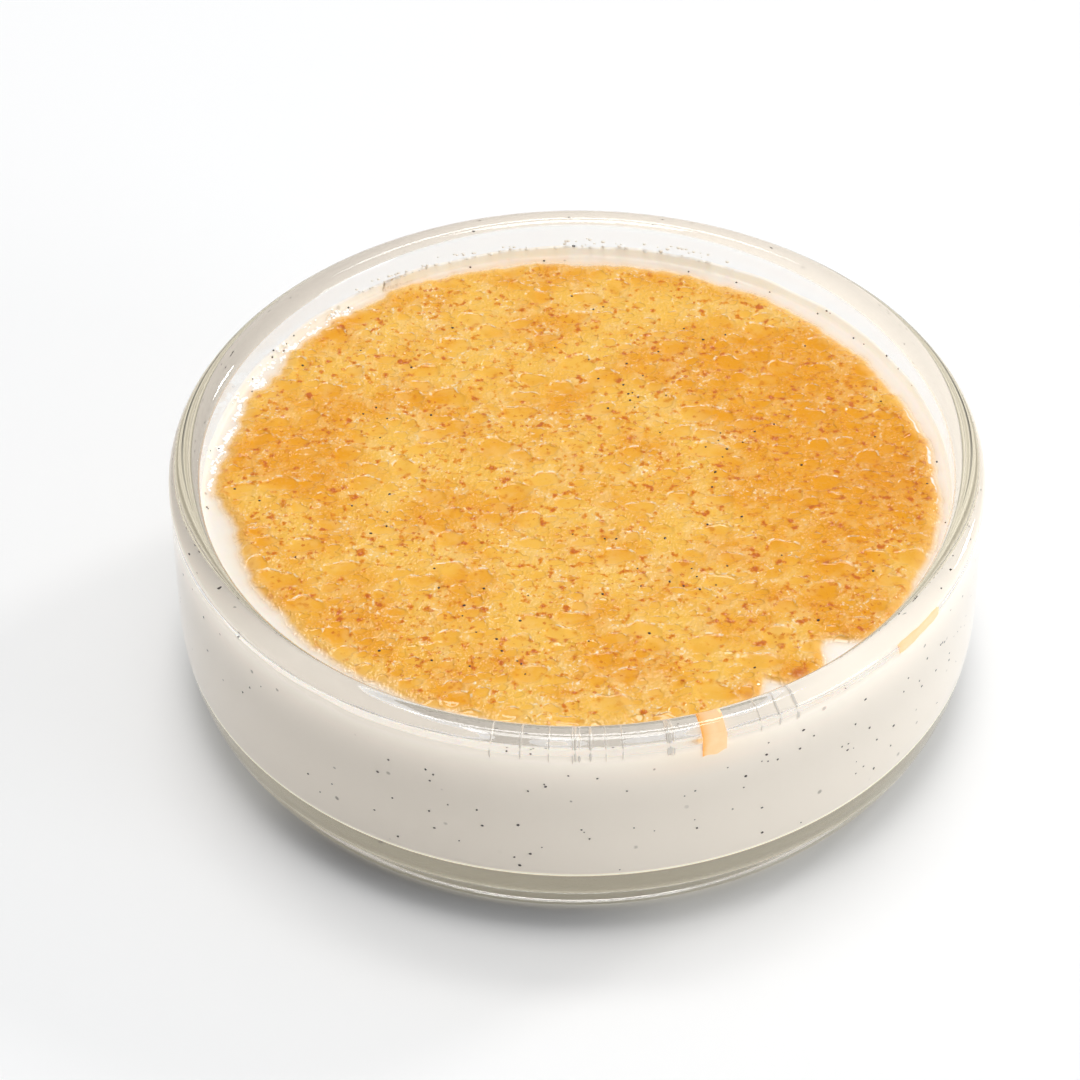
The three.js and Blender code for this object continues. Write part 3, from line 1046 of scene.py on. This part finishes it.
def custard_material(name, in_air, pale):
    made, tree, shader = material(
        name, Emission_Color=pale, Roughness=0.28,
        Specular_IOR_Level=0.3 if in_air else 0.0, Subsurface_Weight=0.5 if in_air else 0.0,
        Subsurface_Radius=(1.0, 0.75, 0.5), Subsurface_Scale=0.0012)
    where = own_place(tree)
    sunk = add(tree, "ShaderNodeGroup", {"node_tree": spots}, Position=where, Per_Metre=330.0,
               Largest=0.16, Raggedness=0.1, Softness=0.6)
    seen = sum_up(tree, "MULTIPLY", sunk.outputs["Mask"], sunk.outputs["Chance"])
    speckled = colour_mix(tree, seen, pale, SUNKEN_SEED_COLOUR)
    stained = colour_mix(tree, measured(tree, "stain"), speckled, SYRUP_COLOUR)
    feed(tree, shader, Base_Color=stained)
    if in_air:
        tooth = add(tree, "ShaderNodeGroup", {"node_tree": grain}, Position=where,
                    Per_Metre=1500.0, Lumpiness=0.5)
        bump = add(tree, "ShaderNodeBump", Strength=0.25, Distance=0.0001,
                   Height=tooth.outputs["Height"])
        feed(tree, shader, Normal=bump.outputs[0])
    return made, tree, shader


top, tree, shader = custard_material("custard_top", True, CUSTARD_COLOUR)
where = own_place(tree)
# Painted light: the custard's film on the glass and the right of the top glow faintly.
in_film = slope(tree, along(tree, where, "Z"), (CUSTARD_LEVEL + 0.02) * MM,
                (CUSTARD_LEVEL + 0.25) * MM, top=FILM_GLOW, shape="LINEAR")
at_right = slope(tree, along(tree, where, "X"), 5.0 * MM, 38.0 * MM, top=RIGHT_GLOW)
feed(tree, shader, Emission_Strength=sum_up(tree, "ADD", in_film, at_right))
dress(custard, top)

side, tree, shader = custard_material("custard_against_glass", False, SIDE_COLOUR)
height = along(tree, own_place(tree), "Z")
# Painted light: the side glows just below the level and faintly low down.
near_top = slope(tree, height, (CUSTARD_LEVEL - SIDE_GLOW_DEPTH) * MM, CUSTARD_LEVEL * MM,
                 shape="LINEAR")
low = slope(tree, height, 20.0 * MM, 12.0 * MM, 0.02, LOW_GLOW)
glow_near_top = sum_up(tree, "MULTIPLY", sum_up(tree, "POWER", near_top, 2.5), SIDE_GLOW)
feed(tree, shader, Emission_Strength=sum_up(tree, "ADD", glow_near_top, low))
custard.data.materials.append(side)

underside, tree, shader = custard_material("custard_underside", False, UNDERSIDE_COLOUR)
_, away = from_axis(tree, own_place(tree))
# Painted light: the underside glows, most of all near its rim.
glow = slope(tree, away, 38.0 * MM, 41.0 * MM, UNDERSIDE_GLOW, OUTER_UNDERSIDE_GLOW,
             shape="LINEAR")
feed(tree, shader, Emission_Strength=glow)
custard.data.materials.append(underside)

for face in custard.data.polygons:
    if face.normal.z < -0.5:
        face.material_index = 2
    elif face.center.z < (CUSTARD_LEVEL - NEAR) * MM or face.normal.z < 0.1:
        face.material_index = 1

# The froth's faint emission is a painted glow that keeps it white.
froth_white, _, _ = material("white_froth", Base_Color=FROTH_COLOUR, Roughness=0.35,
                             Emission_Color=FROTH_COLOUR, Emission_Strength=0.12)
dress(froth, froth_white)

# %% [markdown]
# ## Caramel
# Burnt sugar is wet-looking amber. In the pools it is clear and deep in colour, on the
# ridges it is full of tiny bubbles and looks paler, and everywhere it has burnt flecks of
# two sizes. Its thin edge lets the custard show and turns peach. The colours are mixed one
# after another in that order, with painted highlights: white lines along the far banks of
# the pools and near the edge on the right. A clear coat gives the wet gloss.

# %% Caramel
VEIL = 0.03                   # light that the gloss adds everywhere


def under_gloss(red, green, blue):
    """The colour below a clear gloss that makes the whole look like this display colour."""
    return (*[max(value - VEIL, 0) for value in colour(red, green, blue)[:3]], 1)


DEEP_COLOUR = under_gloss(238, 162, 34)
SHEET_COLOUR = under_gloss(247, 193, 88)
PALE_COLOUR = under_gloss(250, 209, 136)
# Tiny bubbles, and also the painted highlight lines on the pools' banks.
BUBBLE_AND_HIGHLIGHT_COLOUR = under_gloss(254, 232, 190)
SMUDGE_COLOUR = under_gloss(229, 148, 20)
FLECK_COLOUR = under_gloss(206, 112, 6)
THIN_COLOUR = under_gloss(249, 200, 118)
EDGE_COLOUR = under_gloss(250, 226, 196)

sugar, tree, shader = material("caramel", Specular_IOR_Level=0.1, Coat_Weight=0.7,
                               Coat_Roughness=0.05)
shore_here, inset_here, toast_here, far_here, painted_highlight_here = [
    measured(tree, name) for name in ("shore", "inset", "toast", "far", "painted_highlight")]
stretch = add(tree, "ShaderNodeMapping", Vector=own_place(tree), Scale=(1.0, 0.95, 1.0)).outputs[0]
ramp = partial(slope, tree)
blend = partial(colour_mix, tree)
times = partial(sum_up, tree, "MULTIPLY")
plus = partial(sum_up, tree, "ADD")
noise = partial(cloudy, tree, stretch)


def flecks(per_metre, largest, raggedness, softness):
    return add(tree, "ShaderNodeGroup", {"node_tree": spots}, Position=stretch,
               Per_Metre=per_metre, Largest=largest, Raggedness=raggedness,
               Softness=softness).outputs["Mask"]


# %% Caramel: the sheet, its pools, its foam and painted highlights on the pools' banks
patches = noise(110.0, 3.0)
pool = ramp(shore_here, 1.16, 0.8)
dry = sum_up(tree, "SUBTRACT", 1.0, pool)
toasted = plus(patches, times(toast_here, 0.5))
clean = sum_up(tree, "SUBTRACT", 1.0, times(toast_here, 0.8))
sheet = blend(ramp(toasted, 0.36, 0.72), SHEET_COLOUR, DEEP_COLOUR)
mottled = blend(times(ramp(noise(420.0, 2.0), 0.48, 0.66), times(clean, 0.4)), sheet, PALE_COLOUR)
foam = times(times(ramp(noise(300.0, 3.0), 0.50, 0.64), dry), clean)
bubbles = ramp(noise(2300.0, 2.0), 0.54, 0.66)
foamed = blend(times(foam, 0.2), mottled, PALE_COLOUR)
frothy = blend(times(bubbles, plus(times(foam, 0.85), 0.08)), foamed, BUBBLE_AND_HIGHLIGHT_COLOUR)
pooled = blend(times(pool, 0.4), frothy, blend(0.25, sheet, DEEP_COLOUR))
# Painted highlights: white lines along the far banks of the pools, torn by noise; a browner band
# lies just inside each.
bank_line = times(ramp(shore_here, 0.90, 0.99), ramp(shore_here, 1.16, 1.04))
torn = ramp(noise(1300.0, 2.0), 0.48, 0.58)
painted_highlight_lines = times(times(bank_line, ramp(far_here, 0.2, 0.6)), torn)
below_bank = times(times(ramp(shore_here, 0.74, 0.84), ramp(shore_here, 0.96, 0.88)), torn)
shaded = blend(times(times(below_bank, ramp(far_here, 0.2, 0.6)), 0.7), pooled, SMUDGE_COLOUR)
with_highlight_lines = blend(times(painted_highlight_lines, 0.85), shaded, BUBBLE_AND_HIGHLIGHT_COLOUR)

# %% Caramel: burnt marks
crowd = ramp(noise(150.0, 2.0), 0.30, 0.60)
settled = plus(times(dry, 0.6), 0.4)
marked = plus(times(crowd, 0.05), times(toast_here, 0.04))
scorch = plus(noise(820.0, 3.0), marked)
smudged = blend(times(ramp(scorch, 0.58, 0.68), settled), with_highlight_lines, SMUDGE_COLOUR)
flecked = blend(times(ramp(scorch, 0.665, 0.74), settled), smudged, FLECK_COLOUR)
freckled = blend(times(flecks(1200.0, 0.42, 1.0, 0.5), times(crowd, 0.8)), flecked, FLECK_COLOUR)
burnt = blend(ramp(toast_here, 0.5, 1.0), freckled, FLECK_COLOUR)

# %% Caramel: the thin edge, a painted highlight near it, the gloss and the fine relief
thin = blend(times(ramp(inset_here, 2.4, 0.6), 0.6), burnt, THIN_COLOUR)
faded = blend(ramp(inset_here, 1.0, 0.1), thin, EDGE_COLOUR)
# Painted highlight: the white line near the edge on the right, broken by noise.
painted_highlight_mask = times(ramp(painted_highlight_here, 0.35, 0.8), ramp(noise(420.0, 2.0), 0.47, 0.53))
highlighted = blend(painted_highlight_mask, faded, under_gloss(255, 250, 240))

tooth = add(tree, "ShaderNodeGroup", {"node_tree": grain}, Position=stretch, Per_Metre=3000.0,
            Lumpiness=0.6).outputs["Height"]
grit = times(tooth, plus(times(dry, 1.1), 0.05))
bank = times(times(ramp(shore_here, 0.92, 1.08), far_here), 0.16)
relief = add(tree, "ShaderNodeBump", Strength=1.0, Distance=0.00013,
             Height=plus(grit, bank)).outputs[0]
feed(tree, shader, Base_Color=highlighted, Roughness=plus(times(dry, 0.1), 0.12),
     Normal=relief, Coat_Normal=relief)
dress(caramel, sugar)

# %% [markdown]
# ## Vanilla
# The seeds are black-brown and oily. They are so small that their colour says nearly all.

# %% Vanilla
vanilla, tree, shader = material("vanilla", Roughness=0.45)
uneven = cloudy(tree, own_place(tree), 2500.0)
feed(tree, shader,
     Base_Color=colour_mix(tree, uneven, colour(24, 20, 20), colour(74, 52, 36)))
dress(vanilla_on_caramel, vanilla)
dress(vanilla_in_custard, vanilla)

# %% [markdown]
# ## Films and streaks on the glass
# The caramel on the wall is so thin that light comes through it from behind; a painted glow
# in its own colour stands in for that light. The dried streaks and bubbles are matt and
# off-white, with a faint painted glow.

# %% Caramel film
# The emission is a painted glow in place of light coming through the film.
film_sugar, tree, shader = material("caramel_film", Emission_Strength=0.4, Roughness=0.4)
patchy = sum_up(tree, "MULTIPLY", cloudy(tree, own_place(tree), 900.0), 0.5)
depth_here = sum_up(tree, "ADD", patchy, measured(tree, "browned"))
depth_here = add(tree, "ShaderNodeClamp", Value=depth_here).outputs[0]
tone = colour_mix(tree, depth_here, colour(251, 214, 168), colour(246, 172, 70))
feed(tree, shader, Base_Color=tone, Emission_Color=tone)
dress(caramel_on_glass, film_sugar)

# %% Dried streaks
DRIED_COLOUR = colour(226, 219, 208)
# The dried streaks and bubbles glow faintly: painted light.
dried, _, _ = material("dried_streak", Base_Color=DRIED_COLOUR, Roughness=0.7,
                       Emission_Color=DRIED_COLOUR, Emission_Strength=0.12)
dress(streaks_on_glass, dried)
dress(froth_on_glass, dried)

# %% [markdown]
# ## Floor and light
# The dish stands on a white table in a bright room. A large soft light hangs overhead, and a
# narrower one beside it draws the glints on the sugar. A smaller lamp behind on the right
# throws the one soft shadow, a cool window low on the right lights the custard through the
# glass, and the room itself fills in from every side, less from the front.

# %% Floor
UNDER_THE_FOOT = 0.02         # two faces in one plane would flicker
select_nothing()
bpy.ops.mesh.primitive_plane_add(size=4)
floor = bpy.context.object
floor.name = "table"
floor.data.transform(Matrix.Translation((0, 0, -UNDER_THE_FOOT * MM)))
paper, _, _ = material("white_table", Base_Color=(0.93, 0.935, 0.94, 1), Roughness=0.6)
dress(floor, paper)

# %% Lights
def lamp(name, azimuth, elevation, distance, size, power):
    """A square area light that looks at the dish, its sides and place in metres and degrees."""
    data = bpy.data.lights.new(name, "AREA")
    data.shape = "RECTANGLE"
    data.size = size[0]
    data.size_y = size[1]
    data.energy = power
    light = bpy.data.objects.new(name, data)
    a, e = math.radians(azimuth), math.radians(elevation)
    light.location = Vector((math.cos(a) * math.cos(e), math.sin(a) * math.cos(e),
                             math.sin(e))) * distance
    light.rotation_mode = "QUATERNION"
    light.rotation_quaternion = (-light.location).to_track_quat("-Z", "Y")
    bpy.context.scene.collection.objects.link(light)
    return light


lamp("overhead", 80, 88, 1.2, (0.5, 0.4), 4.6)
lamp("sparkle", 86, 66, 1.2, (0.5, 0.16), 2.2)
lamp("key", 35, 30, 1.4, (0.2, 0.2), 3.6)
window = lamp("right_window", -25, 13, 1.2, (0.5, 0.4), 3.1)
window.data.color = (0.92, 0.97, 1.0)

BRIGHT_SIDE = (0.50, 0.55, 0.65)
ROOM_STRENGTH = 0.54
FRONT_COLOUR = (0.45, 0.445, 0.44, 1)
BACK_COLOUR = (1.0, 1.0, 1.0, 1)
world = bpy.data.worlds.new("bright_room")
bpy.context.scene.world = world
world.use_nodes = True
tree = world.node_tree
direction = add(tree, "ShaderNodeTexCoord").outputs["Generated"]
facing = vector_step(tree, "DOT_PRODUCT", direction, BRIGHT_SIDE)["Value"]
room = colour_mix(tree, slope(tree, facing, -0.5, 0.5), FRONT_COLOUR, BACK_COLOUR)
feed(tree, tree.nodes["Background"], Color=room, Strength=ROOM_STRENGTH)

bpy.context.scene.view_settings.view_transform = "Standard"
cycles = bpy.context.scene.cycles
cycles.max_bounces = 8
cycles.diffuse_bounces = 2
cycles.glossy_bounces = 4
cycles.transmission_bounces = 8
cycles.caustics_reflective = False
cycles.caustics_refractive = False
